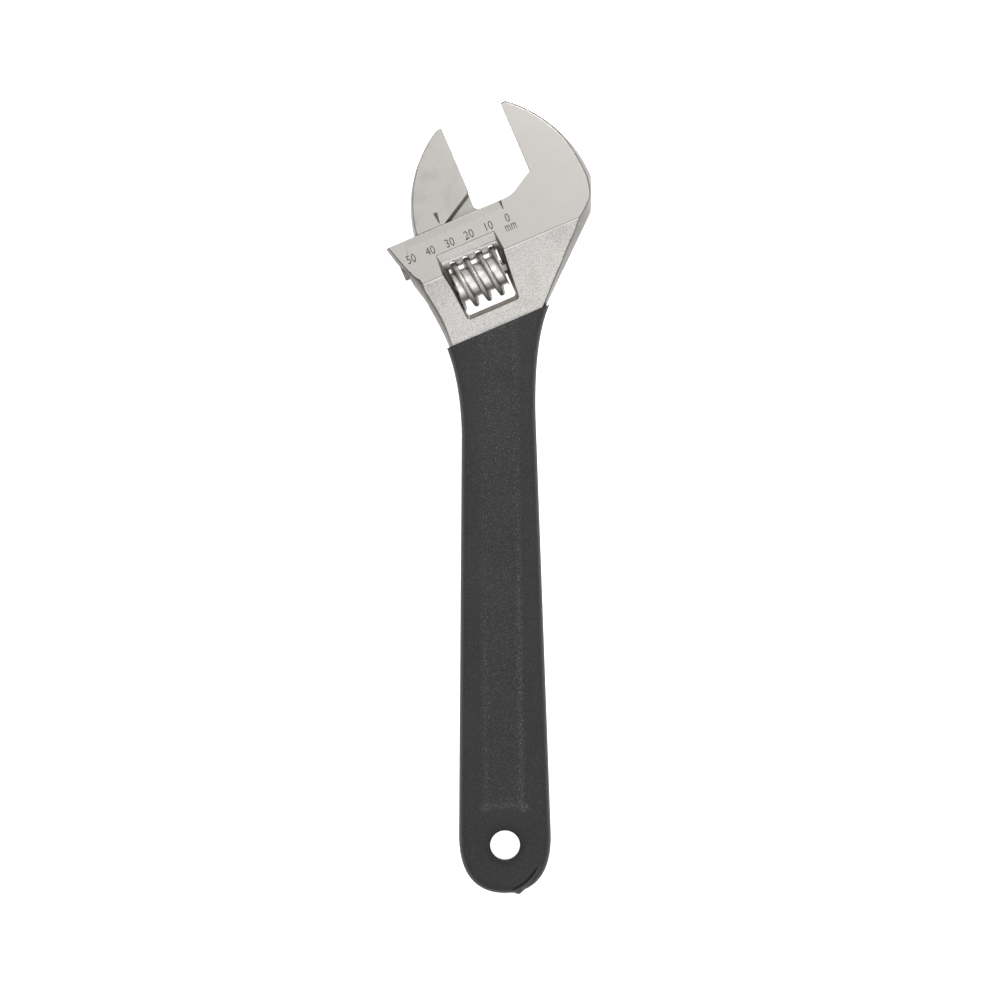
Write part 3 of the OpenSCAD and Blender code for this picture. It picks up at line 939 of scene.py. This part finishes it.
    def _window(self) -> Solid:
        """The window round the worm, drawn out towards both faces."""
        made = Solid("window")
        bm = made.bm
        before = self._window_ring(0)
        face = bm.faces.new([bm.verts.new((s, t, 0)) for s, t in before])
        for z in (self.rail_radius - 0.15, self.half_head + 1):
            grown = bmesh.ops.extrude_face_region(bm, geom=[face])
            bm.faces.remove(face)
            face = next(g for g in grown["geom"] if isinstance(g, bmesh.types.BMFace))
            after = self._window_ring(z)
            for vert in face.verts:
                spot = min(range(6), key=lambda i: (Vector(before[i]) - vert.co.xy).length)
                vert.co = (*after[spot], z)
            before = after
        bmesh.ops.mirror(bm, geom=[*bm.verts, *bm.edges, *bm.faces], matrix=Matrix(),
                         merge_dist=1e-4, axis="Z")
        bmesh.ops.remove_doubles(bm, verts=bm.verts, dist=1e-4)
        made.outward()
        corners = [e for e in bm.edges
                   if abs(e.verts[0].co.z - e.verts[1].co.z) > 3
                   and e.verts[0].co.y < -30 and e.calc_face_angle(0) > math.radians(50)]
        bmesh.ops.bevel(bm, geom=corners, offset=1.4, segments=4, profile=0.5,
                        affect="EDGES", offset_type="OFFSET", clamp_overlap=True, material=-1)
        return made.moved(self.head.matrix)

    def _slide_way(self) -> list[Solid]:
        """The rail's bore and the web's slot."""
        face = self.head.FIXED_FACE
        end = face + 3.3
        bore = Solid.rod("bore", -120, end, self.rail_radius + self.rail_gap, 72)
        bore.moved(self.head.matrix @ Matrix.Translation((0, -self.rail_depth, 0)))
        shape = [(-120, -self.rail_depth), (end, -self.rail_depth), (end, 0.8), (face, 4.6),
                 (face - 0.6, 8), (-120, 10.2)]
        slot = Solid.plate("slot", shape, -self.web_half, self.web_half)
        return [bore, slot.moved(self.head.matrix)]

    def _pin_holes(self) -> list[Solid]:
        """The pin's threaded and plain holes."""
        place = self.head.matrix @ Matrix.Translation((0, -self.head.worm_depth, 0))
        start, shoulder = self.window[0] - 24.6, self.window[0] - 5.6
        wide = Solid.rod("hole", start, shoulder, 4.05, 48).moved(place)
        thin = Solid.rod("hole", shoulder - 1, self.window[1] + 9, 3.05, 48).moved(place)
        return [wide, thin]

    def _is_edge(self, middle: Vector) -> bool:
        """Whether an edge belongs to the head's shape and not to the scale or the handle."""
        spot = self.head.local(middle)
        stamped = -50 < spot.x < 6 and -10.9 < spot.y < -0.3
        unit = -4 < spot.x < 6.5 and -16 < spot.y < -0.3
        corner = spot.x > 24 and -34 < spot.y < -13
        band = abs(-spot.y - self.band - self.lip[0] / 2) < 0.3
        seam = abs(spot.z) < 1
        return not (spot.y < -60 or corner or band or seam or spot.z > 9.8 and (stamped or unit))

    def _finish_at(self, middle: Vector, normal: Vector) -> int:
        """Which finish a face of the body has."""
        spot = self.head.local(middle)
        left, right, low = self.window
        side = abs(normal.z)
        face = self.face_height(-spot.y - self.band)
        if abs(spot.z) > 9.8 and spot.z > 0 and (side < 0.2 or 0 < face - spot.z - 0.06 < 0.12):
            return 5 if face - spot.z < 0.1 else 6
        in_window = left - 5 < spot.x < right + 5 and -low - 4 < spot.y < -11.8
        if in_window and abs(spot.z) < face - 0.25:
            # Sloped window walls facing along t get the bright slope finish, which is painted light;
            # the steep walls get the wall finish.
            return 7 if side > 0.3 and abs(normal.xy.dot(self.head.t.xy)) > 0.5 else 4
        if spot.y > -0.2 and side < 0.3 and spot.x < self.head.FIXED_FACE + 0.3:
            return 3
        if side < 0.965 and abs(spot.z) < face - 0.1:
            # Flank faces near the face, towards the fixed jaw, get the darker rim finish: painted shade
            # of the steep rim.
            return 10 if abs(spot.z) > face * 0.8 and spot.x > 0 else 2
        if spot.y > -self.band:
            return 0
        # Below the ground band: the step, painted dark as painted shade, then a strip painted lighter
        # as a painted highlight, then the blasted plate.
        return 9 if spot.y > -self.band - self.lip[0] else 8 if spot.y > -self.band - self.lip[1] else 1

    def build(self, finishes: Finishes, marks: list[Solid]) -> bpy.types.Object:
        """Makes the body.

        Args:
            finishes: the wrench's finishes.
            marks: cutters for the scale.

        Returns:
            The finished body.
        """
        made = self.blank()
        made.combined(Cut.AWAY, [self._mouth(), self._window(), *self._slide_way(),
                                 *self._pin_holes(), *self.channels(9.3, 1.6, self.half_handle),
                                 hang_hole(8.45), *marks])
        made.eased(0.3, 2, 30, self._is_edge)
        for vert in made.bm.verts:
            vert.co.z = max(-self.half_head, min(self.half_head, vert.co.z))
        steels = [finishes.ground, finishes.blasted, finishes.flank, finishes.machined,
                  finishes.wall, finishes.tick, finishes.mark, finishes.slope, finishes.rim,
                  finishes.step, finishes.flank_rim]
        return made.finished([steel.build() for steel in steels], "frame", "body",
                             "forged_steel", self._finish_at)


def hang_hole(radius: float, flare: float = 0.0, half: float = 8.8) -> Solid:
    """A cutter through the hang hole, which opens out at both faces.

    Args:
        radius: the hole's radius.
        flare: the radius of its rounded rims.
        half: half the thickness that it goes through.

    Returns:
        The cutter, along Z.
    """
    turned = Matrix.Rotation(math.pi / 2, 4, "Y")
    if not flare:
        return Solid.rod("hang_hole", -30, 30, radius, 72).moved(turned)
    rim = [(half - flare + flare * math.sin(a), radius + flare * (1 - math.cos(a)))
           for a in (math.pi / 12 * i for i in range(7))]
    top = rim[-1][1] + 1
    profile = [(-half - 3, 0), (-half - 3, top), *[(-x, r) for x, r in reversed(rim)],
               *rim, (half + 3, top), (half + 3, 0)]
    return Solid.turned("hang_hole", profile, 72).moved(turned)


# ---------------------------------------------------------------- the scale


@dataclass
class Scale:
    """The millimetre scale on the head: ticks, numbers and their unit."""

    head: Head
    zero: float = 1.2
    last: int = 50
    face: float = 10.0
    tick_depth: float = 0.08
    depth: float = 0.16
    number_height: float = 4.2
    lengths: dict[int, float] = field(default_factory=lambda: {10: 4.5, 5: 3.8, 1: 3.1})

    def _wedge(self, s: float, t: float, length: float, wide: float, narrow: float,
               face: float, depth: float) -> Solid:
        """A stamped mark that narrows downwards from t."""
        shape = [(s - narrow / 2, t - length), (s + narrow / 2, t - length),
                 (s + wide / 2, t), (s - wide / 2, t)]
        return Solid.plate("mark", shape, face - depth, face + 1)

    def _lettering(self, words: str, s: float, t: float, height: float, squeeze: float) -> Solid:
        """Numbers or a unit, standing over the face."""
        text = bpy.data.curves.new("number", "FONT")
        text.body = words
        text.size = height / 0.73
        text.align_x = "CENTER"
        text.extrude = 0.6
        text.resolution_u = 3
        text.offset = 0.0
        thing = bpy.data.objects.new("number", text)
        bpy.context.collection.objects.link(thing)
        graph = bpy.context.evaluated_depsgraph_get()
        mesh = thing.evaluated_get(graph).to_mesh()
        made = Solid("number")
        made.bm.from_mesh(mesh)
        bpy.data.objects.remove(thing)
        bpy.data.curves.remove(text)
        bmesh.ops.remove_doubles(made.bm, verts=made.bm.verts, dist=1e-4)
        made.outward()
        place = Matrix.Translation((s, t, self.face - self.depth + 0.6))
        return made.moved(self.head.matrix @ place @ Matrix.Diagonal((squeeze, 1, 1, 1)))

    def cutters(self) -> list[Solid]:
        """The solids that stamp the scale into the body."""
        ticks = Solid("ticks")
        for k in range(1, self.last + 1):
            length = next(self.lengths[n] for n in (10, 5, 1) if k % n == 0)
            tick = self._wedge(self.zero + 0.1 - k, -0.6, length, 0.32, 0.32, self.face,
                               self.tick_depth)
            mesh = bpy.data.meshes.new("tick")
            tick.bm.to_mesh(mesh)
            ticks.bm.from_mesh(mesh)
            bpy.data.meshes.remove(mesh)
        zero = self._wedge(self.zero, -0.36, 4.3, 1.4, 0.35, self.face, self.depth)
        made = [mark.moved(self.head.matrix) for mark in (ticks, zero)]
        for k in range(0, self.last + 1, 10):
            made.append(self._lettering(str(k), self.zero + 0.1 - k, -11.1, self.number_height,
                                        0.84))
        made.append(self._lettering("mm", self.zero, -15.4, 4.8, 0.58))
        return made

    def pointer(self, s: float, face: float) -> Solid:
        """The pointer on the sliding jaw."""
        return self._wedge(s, 6.5, 5.4, 2.0, 0.5, face, self.depth)


# ---------------------------------------------------------------- the sliding jaw


@dataclass
class SlidingJaw:
    """The sliding jaw with its web, rail and rack."""

    head: Head
    forging: Forging
    length: float = 32.4
    height: float = 42.8
    half: float = 9.7
    relief: tuple[float, float] = (16.6, 9.5)
    web_half: float = 4.2
    rail_ahead: float = 2.7
    rail_behind: float = 44.4
    crest: float = -31.55
    slot_half: tuple[float, float] = (1.05, 1.84)
    slant: float = math.radians(6.09)
    flank: Sequence[Point] = ((40, 0.7), (20, 1.2), (0, 1.8))
    wall_foot: float = 1.5

    def _outline(self) -> list[Point]:
        """Outline at the parting line, running past the face and the underside."""
        face = self.head.jaw_face
        back = face - self.length
        tip = (face - 3, self.height - 0.2)
        return [(face + 5, self.height), (face - 1.5, self.height), tip,
                *arc((tip[0] - 1, tip[1] - 0.6), (face - 19, self.height - 13.5), (back, 0), 30),
                (back, 0), (back - 0.6, -3), (face + 5, -3)]

    def _inset(self, place: Vector, share: float) -> float:
        """How far the drafted side stands in at a share of its rise."""
        return rimmed(along(self.flank, place.y), share)

    def _head(self) -> Solid:
        """The jaw itself, cut square at its face and its underside."""
        face = self.head.jaw_face
        steps = [(self.half * z, d) for z, d in self.forging.steps]
        made = Drawn(self._outline(), steps, self._inset).solid("movable_jaw")
        back = face - self.length - 5
        long, high = self.relief
        shape = [(back, 0.1), (face - long, 0.1), (face, high), (face, 60), (back, 60)]
        return made.combined(Cut.KEEP, [Solid.plate("square", shape, -12, 12)])

    def _web(self) -> Solid:
        """The web between the jaw and the rail."""
        face = self.head.jaw_face
        ahead, front = face + self.rail_ahead, face - 0.6
        depth = -self.forging.rail_depth
        long, high = self.relief
        back = face - self.length + 3
        shape = [(back, depth), (ahead, depth), (ahead, 0),
                 *curve((ahead, 0), (front + 1, 0.2), (front, 1.2), (front, 3), 8)[1:],
                 (front, 3), (front, high + 1.5), (face - long, high + 1.5), (back, 2)]
        return Solid.plate("web", shape, -self.web_half, self.web_half)

    def _rail(self) -> Solid:
        """The round rail with chamfered ends."""
        face, r = self.head.jaw_face, self.forging.rail_radius
        made = Solid.rod("rail", face - self.rail_behind, face + self.rail_ahead, r, 72)
        made.sliced([face - self.rail_behind + 4.5], Vector((1, 0, 0)), Vector())
        return made.moved(Matrix.Translation((0, -self.forging.rail_depth, 0)))

    def _feet(self) -> Solid:
        """The sloped feet of the relief's walls, on both sides of the web."""
        face, (long, high) = self.head.jaw_face, self.relief
        length = math.hypot(long, high)
        section = [(-0.5, -self.half + 0.25), (0, -self.half + 0.25),
                   (self.wall_foot, -self.web_half + 0.1), (self.wall_foot, self.web_half - 0.1),
                   (0, self.half - 0.25), (-0.5, self.half - 0.25)]
        run = Matrix.Rotation(math.atan2(high, long), 4, "Z")
        stand = Matrix(((0, 0, 1, 0), (-1, 0, 0, 0), (0, -1, 0, 0), (0, 0, 0, 1)))
        made = Solid.plate("feet", section, -3, length + 3)
        made.moved(Matrix.Translation((face - long, 0.1, 0)) @ run @ stand)
        keep = [(face - 40, 0.1), (face - 0.6, 0.1), (face - 0.6, 30), (face - 40, 30)]
        return made.combined(Cut.KEEP, [Solid.plate("keep", keep, -12, 12)])

    def _rack(self) -> list[Solid]:
        """Cutters for the rack's slots."""
        face = self.head.jaw_face
        root = -(self.head.worm_depth - 12 - 0.75)
        low = -(self.forging.rail_depth + self.forging.rail_radius + 1)
        narrow, wide = self.slot_half
        pitch = self.head.pitch
        first = math.ceil((face - self.rail_behind + pitch / 4 - self.crest) / pitch)
        last = math.floor((face + self.rail_ahead - pitch / 4 - self.crest) / pitch)
        cutters = []
        for k in range(first, last + 1):
            back = 14.0 if k == first else 0.0
            shape = [(-wide - 0.3 - back, low), (wide, low), (narrow, root),
                     (-narrow - 0.3 - back, root)]
            place = Matrix.Translation((self.crest + k * pitch, 0, 0))
            slot = Solid.plate("slot", shape, -14, 14)
            edges = [e for e in slot.bm.edges
                     if all(abs(v.co.y - root) < 1e-4 for v in e.verts)
                     and abs(e.verts[0].co.z - e.verts[1].co.z) > 10]
            bmesh.ops.bevel(slot.bm, geom=edges, offset=0.45, segments=3, profile=0.5,
                            affect="EDGES", offset_type="OFFSET", clamp_overlap=True,
                            material=-1)
            cutters.append(slot.moved(place @ Matrix.Rotation(self.slant, 4, "Y")))
        return cutters

    def _finish_at(self, middle: Vector, normal: Vector) -> int:
        """Which finish a face of the jaw has."""
        spot = self.head.local(middle)
        if spot.y < -0.5:
            return 1 if spot.x < -49 else 3
        # The relief's sloped feet take the dark wall finish: painted shade for the dark band along the
        # relief.
        if 0.15 < abs(normal.z) < 0.5 and spot.x > -28 and abs(spot.z) < self.half - 0.2:
            return 5
        flat = abs(normal.z) > 0.62
        if spot.z > self.half - 0.2 and (abs(normal.z) < 0.2 or spot.z < self.half - 0.1) \
                and 0.5 < spot.y < 7 and abs(spot.x + 29.5) < 1.2:
            return 4
        if flat and abs(spot.z) > self.half - 0.35:
            return 0
        # Flank faces near the face get the darker rim finish: painted shade of the steep rim.
        if abs(spot.z) > self.half * 0.8 and normal.xy.dot(self.head.s.xy) < 0.3:
            return 6
        if normal.xy.dot(self.head.s.xy) > 0.8:
            return 2
        return 1 if abs(spot.z) > self.web_half + 0.2 or spot.x < -25 else 2

    def build(self, finishes: Finishes, pointer: Solid) -> bpy.types.Object:
        """Makes the jaw.

        Args:
            finishes: the wrench's finishes.
            pointer: the cutter of its pointer.

        Returns:
            The finished jaw.
        """
        made = self._head()
        made.combined(Cut.JOIN, [self._web(), self._rail(), self._feet()])
        made.combined(Cut.AWAY, [*self._rack(), pointer])
        made.eased(0.25, 2, 32, lambda spot: not (spot.z > 9.5 and 0.6 < spot.y < 6.8
                                                  and abs(spot.x + 29.5) < 1.3))
        for vert in made.bm.verts:
            vert.co.z = max(-self.half, min(self.half, vert.co.z))
        made.moved(self.head.matrix)
        steels = [finishes.jaw, finishes.jaw_flank, finishes.machined, finishes.rack,
                  finishes.mark, finishes.wall, finishes.flank_rim]
        return made.finished([steel.build() for steel in steels], "jaw", "movable_jaw",
                             "jaw_steel", self._finish_at)


# ---------------------------------------------------------------- worm, pin and spring


@dataclass
class Worm:
    """The worm: a right-hand thread with a finely serrated crest on a bored core."""

    head: Head
    left: float = -34.2
    length: float = 24.05
    radius: float = 12.0
    core: float = 7.7
    bore: float = 3.05
    pocket: tuple[float, float] = (4.7, 8.0)
    crest: float = -31.55
    crest_width: float = 2.2
    root_width: float = 3.5
    serrations: int = 100
    serration_depth: float = 0.16

    def _core(self) -> Solid:
        """The core with its bore and the spring's pocket."""
        right, (wide, deep) = self.left + self.length, self.pocket
        edge = 0.35
        profile = [(self.left, self.bore), (self.left, self.core - edge),
                   (self.left + edge, self.core), (right - edge, self.core),
                   (right, self.core - edge), (right, wide), (right - deep, wide),
                   (right - deep, self.bore)]
        return Solid.turned("worm", profile, 96)

    def _thread(self) -> Solid:
        """The thread, cut off square at both ends."""
        half_c, half_r, r = self.crest_width / 2, self.root_width / 2, self.radius
        section = [(-half_r - 0.1, self.core - 0.4), (-half_r + 0.15, self.core + 0.7),
                   (-half_c - 0.12, r - 1.1), (-half_c, r - 0.5),
                   (-half_c * 0.62, r - 0.1), (0, r), (half_c * 0.62, r - 0.1),
                   (half_c, r - 0.5), (half_c + 0.12, r - 1.1),
                   (half_r - 0.15, self.core + 0.7), (half_r + 0.1, self.core - 0.4)]
        turns_before = (self.crest - self.left) / self.head.pitch + 0.6
        turns = self.length / self.head.pitch + 1.2
        per_turn = 2 * self.serrations
        steps = round(turns * per_turn)
        made = Solid("thread")
        start = self.crest - turns_before * self.head.pitch
        verts = [made.bm.verts.new((start + x, y, 0)) for x, y in section]
        bmesh.ops.rotate(made.bm, verts=verts, cent=(0, 0, 0),
                         matrix=Matrix.Rotation(-2 * math.pi * turns_before, 3, "X"))
        edges = [made.bm.edges.new((v, verts[(i + 1) % len(verts)])) for i, v in enumerate(verts)]
        bmesh.ops.spin(made.bm, geom=verts + edges, cent=(0, 0, 0), axis=(1, 0, 0),
                       dvec=(self.head.pitch / per_turn, 0, 0), steps=steps,
                       angle=2 * math.pi * steps / per_turn, use_merge=False)
        self._serrate(made)
        for place, side in ((self.left + 0.01, -1), (self.left + self.length - 0.01, 1)):
            geom = [*made.bm.verts, *made.bm.edges, *made.bm.faces]
            bmesh.ops.bisect_plane(made.bm, geom=geom, plane_co=(place, 0, 0),
                                   plane_no=(side, 0, 0), clear_outer=True)
            rim = [e for e in made.bm.edges if e.is_boundary]
            bmesh.ops.holes_fill(made.bm, edges=rim, sides=0)
        return made.outward()

    def _serrate(self, made: Solid) -> None:
        """Presses the fine serrations into the crest."""
        for vert in made.bm.verts:
            radius = math.hypot(vert.co.y, vert.co.z)
            if radius < self.radius - 0.6:
                continue
            angle = math.atan2(vert.co.z, vert.co.y)
            dip = self.serration_depth * (0.5 - 0.5 * math.cos(self.serrations * angle))
            vert.co.yz = vert.co.yz * (1 - dip / radius)

    def build(self, finishes: Finishes) -> bpy.types.Object:
        """Makes the worm."""
        made = self._core().combined(Cut.JOIN, [self._thread()])
        place = Matrix.Translation((0, -self.head.worm_depth, 0))
        made.moved(self.head.matrix @ place)
        back = (self.head.matrix @ place).inverted()

        def finish_at(middle: Vector, normal: Vector) -> int:
            """Plain on the core, knurled on the crest, and darker on the thread's sides as painted
            shade.
            """
            radius = (back @ middle).yz.length
            return 1 if radius > self.radius - 0.6 else 2 if radius > self.core + 0.2 else 0

        steels = [finishes.worm, finishes.knurl, finishes.thread]
        return made.finished([steel.build() for steel in steels], "worm_body", "worm",
                             "worm_steel", finish_at)


@dataclass
class Pin:
    """The slotted pin that the worm turns on."""

    head: Head
    start: float = -48.85
    head_length: float = 9.0
    head_radius: float = 4.0
    radius: float = 3.0
    end: float = -1.25

    def build(self, finishes: Finishes) -> bpy.types.Object:
        """Makes the pin."""
        shoulder = self.start + self.head_length
        profile = [(self.start, 0.0), (self.start, self.head_radius - 0.4),
                   (self.start + 0.4, self.head_radius), (shoulder, self.head_radius),
                   (shoulder, self.radius), (self.end - 0.8, self.radius),
                   (self.end, self.radius - 0.8), (self.end, 0.0)]
        made = Solid.turned("worm_pin", profile, 48)
        slot = [(self.start - 1, -6), (self.start + 1.5, -6), (self.start + 1.5, 6),
                (self.start - 1, 6)]
        made.combined(Cut.AWAY, [Solid.plate("slot", slot, -0.6, 0.6)])
        made.moved(self.head.matrix @ Matrix.Translation((0, -self.head.worm_depth, 0)))
        return made.finished([finishes.pin.build()], "frame", "worm_pin", "pin_steel")


@dataclass
class Spring:
    """The spring in the worm's end."""

    head: Head
    start: float = -17.66
    end: float = -9.74
    wire: float = 0.45
    coil: float = 3.85
    turns: int = 5

    def build(self, finishes: Finishes) -> bpy.types.Object:
        """Makes the spring."""
        made = Solid("worm_spring")
        ring = bmesh.ops.create_circle(made.bm, cap_ends=False, segments=10, radius=self.wire,
                                       matrix=Matrix.Translation((self.start, self.coil, 0)))
        steps = self.turns * 32
        edges = [e for e in made.bm.edges]
        bmesh.ops.spin(made.bm, geom=ring["verts"] + edges, cent=(0, 0, 0), axis=(1, 0, 0),
                       dvec=((self.end - self.start) / steps, 0, 0), steps=steps,
                       angle=2 * math.pi * self.turns, use_merge=False)
        rim = [e for e in made.bm.edges if e.is_boundary]
        bmesh.ops.holes_fill(made.bm, edges=rim, sides=0)
        made.outward()
        made.moved(self.head.matrix @ Matrix.Translation((0, -self.head.worm_depth, 0)))
        return made.finished([finishes.wire.build()], "frame", "worm_spring", "spring_wire")


# ---------------------------------------------------------------- the grip


@dataclass
class Grip:
    """The dipped grip: a soft skin that follows the channel and lines the hang hole."""

    forging: Forging
    wall: float = 1.3
    half: float = 8.8
    hole: float = 7.15
    top: float = 55.1
    channel: float = 1.2
    steps: Sequence[tuple[float, float]] = ((0.30, 0.03), (0.50, 0.14), (0.64, 0.38),
                                            (0.78, 0.85), (0.87, 1.4), (0.93, 2.0),
                                            (0.97, 2.7), (1.0, 3.9))

    def _soft_channel(self, x: float, y: float) -> float:
        """How deep the channel is at a place, from 0 to 1."""
        half, low = 8.1, 20.0
        top = self.forging.reach - 82
        x += self.forging.neck_shift / 2
        if y > top - half:
            edge = math.hypot(x, y - top + half) - half
        else:
            flare = 1.6 * smooth_step(low + 7, low, y)
            edge = max(abs(x) - half - flare, low - y)
        return smooth_step(2.6, -2.6, edge)

    def _drip(self, x: float, y: float) -> tuple[float, float]:
        """The drip at the end: how far it hangs out, and the height of its ridge."""
        nub = math.exp(-(((x - 6.3) / 1.9) ** 2) - ((y + 22.5) / 3.0) ** 2)
        radius = math.hypot(x + 4, y + 1)
        angle = math.degrees(math.atan2(y + 1, x + 4))
        along = smooth_step(-66, -56, angle) * smooth_step(-22, -34, angle)
        ridge = math.exp(-((radius - 22.3) / 0.7) ** 2) * along
        return nub, ridge

    def _outer(self) -> Solid:
        """The outer skin as one solid, with its channel and its drip."""
        grown = [(self.half * z, d) for z, d in self.steps]
        outline = self._wide_outline()
        made = Drawn(outline, grown).solid("handle_grip")
        y_fine = [-22.5 + 0.75 * i for i in range(24)]
        y_rest = [-4.5 + 2.0 * i for i in range(132)]
        made.sliced([*y_fine, *y_rest], Vector((0, 1, 0)), Vector())
        made.sliced([-12 + 0.8 * i for i in range(31)], Vector((1, 0, 0)), Vector())
        for vert in made.bm.verts:
            x, y, z = vert.co
            nub, ridge = self._drip(x, y)
            if abs(z) > self.half * 0.985:
                drop = self.channel * self._soft_channel(x, y) - 0.35 * ridge
                vert.co.z -= math.copysign(drop, z)
            vert.co.y -= 1.3 * nub
            vert.co.x += 0.25 * nub
        return made

    def _wide_outline(self) -> list[Point]:
        """The forging's outline, grown by the wall."""
        points = [Vector(p) for p in self.forging.outline()]
        grown = []
        for i, point in enumerate(points):
            before = (point - points[i - 1]).normalized()
            after = (points[(i + 1) % len(points)] - point).normalized()
            mean = Vector((before.y + after.y, -before.x - after.x)).normalized()
            reach = self.wall / max(mean.dot(Vector((before.y, -before.x))), 0.5)
            grown.append(tuple(point + mean * reach))
        return grown

    def build(self, finishes: Finishes) -> bpy.types.Object:
        """Makes the grip."""
        made = self._outer()
        over = [(-200, -self.top), (200, -self.top), (200, 200), (-200, 200)]
        above = Solid.plate("above", over, -20, 20).moved(self.forging.head.matrix)
        made.combined(Cut.AWAY, [above])
        made.combined(Cut.AWAY, [hang_hole(self.hole, 0.8, self.half)])
        cavity = self.forging.blank(0.04)
        cavity.combined(Cut.AWAY, [*self.forging.channels(9.26, 1.6, 7.24), hang_hole(8.41)])
        made.combined(Cut.AWAY, [cavity])
        return made.finished([finishes.vinyl.build()], "frame", "handle_grip", "grip_vinyl")


# ---------------------------------------------------------------- studio


@dataclass
class Studio:
    """Camera, floor, sky and soft lights."""

    distance: float = 5.0
    width_seen: float = 0.4785
    centre: tuple[float, float] = (-0.0004, 0.1653)
    roll: float = math.radians(-0.7)
    floor: float = -0.0122
    zenith: float = 0.9
    horizon: float = 0.4

    def camera(self) -> None:
        """Looks straight down on the marked face."""
        lens = bpy.data.cameras.new("camera")
        lens.sensor_width = 36.0
        lens.lens = 36.0 * self.distance / self.width_seen
        lens.clip_start, lens.clip_end = 0.05, 20.0
        made = bpy.data.objects.new("camera", lens)
        made.location = (*self.centre, self.distance)
        made.rotation_euler = (0, 0, self.roll)
        bpy.context.collection.objects.link(made)
        bpy.context.scene.camera = made

    def _light(self, name: str, place: Sequence[float], size: float, power: float) -> None:
        """A soft square light that faces the head's middle."""
        data = bpy.data.lights.new(name, "AREA")
        data.shape = "SQUARE"
        data.size, data.energy = size, power
        made = bpy.data.objects.new(name, data)
        made.location = place
        aim = Vector((0, 0.2, 0)) - Vector(place)
        made.rotation_euler = aim.to_track_quat("-Z", "Y").to_euler()
        bpy.context.collection.objects.link(made)

    def _sky(self) -> None:
        """A soft sky, bright overhead and darker towards the horizon."""
        world = bpy.data.worlds.new("sky")
        g = Graph(world)
        way = g.node("ShaderNodeTexCoord").out("Generated")
        up = g.node("ShaderNodeSeparateXYZ", {}, {"Vector": way}).out("Z")
        strength = self.horizon + up.between(0.05, 0.95) * (self.zenith - self.horizon)
        light = g.node("ShaderNodeBackground", {}, {"Color": (1, 1, 1, 1), "Strength": strength})
        g.node("ShaderNodeOutputWorld", {}, {"Surface": light.out()})
        bpy.context.scene.world = world

    def build(self) -> None:
        """Makes the floor, the sky and the lights."""
        mesh = bpy.data.meshes.new("floor")
        bm = bmesh.new()
        bmesh.ops.create_grid(bm, x_segments=1, y_segments=1, size=4.0,
                              matrix=Matrix.Translation((0, 0, self.floor)))
        bm.to_mesh(mesh)
        bm.free()
        floor = bpy.data.objects.new("floor", mesh)
        bpy.context.collection.objects.link(floor)
        paint = Graph.material("floor_paint")
        mesh.materials.append(paint.surface({
            "Base Color": (0.9, 0.9, 0.9, 1), "Roughness": 0.9,
            "Emission Color": (1, 1, 1, 1), "Emission Strength": 0.95}))
        self._sky()
        self._light("key", (0.35, -0.5, 1.5), 1.3, 4.5)
        self._light("top", (0.14, 0.62, 0.5), 0.25, 2.0)
        self._light("fill", (-1.0, 0.4, 1.2), 1.0, 2.0)
        bpy.context.scene.view_settings.view_transform = "Standard"


# ---------------------------------------------------------------- the wrench


def main() -> None:
    """Builds the wrench piece by piece."""
    logging.basicConfig(level=logging.INFO, format="%(name)s: %(message)s")
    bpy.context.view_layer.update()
    studio = Studio()
    studio.camera()
    head = Head(frame["record"])
    finishes = wrench_finishes(math.atan2(head.s.y, head.s.x))
    scale = Scale(head)
    forging = Forging(head)
    forging.build(finishes, scale.cutters())
    jaw = SlidingJaw(head, forging)
    jaw.build(finishes, scale.pointer(head.jaw_face - 18.8, jaw.half))
    Worm(head).build(finishes)
    Pin(head).build(finishes)
    Spring(head).build(finishes)
    Grip(forging).build(finishes)
    studio.build()


if __name__ == "__main__":
    main()
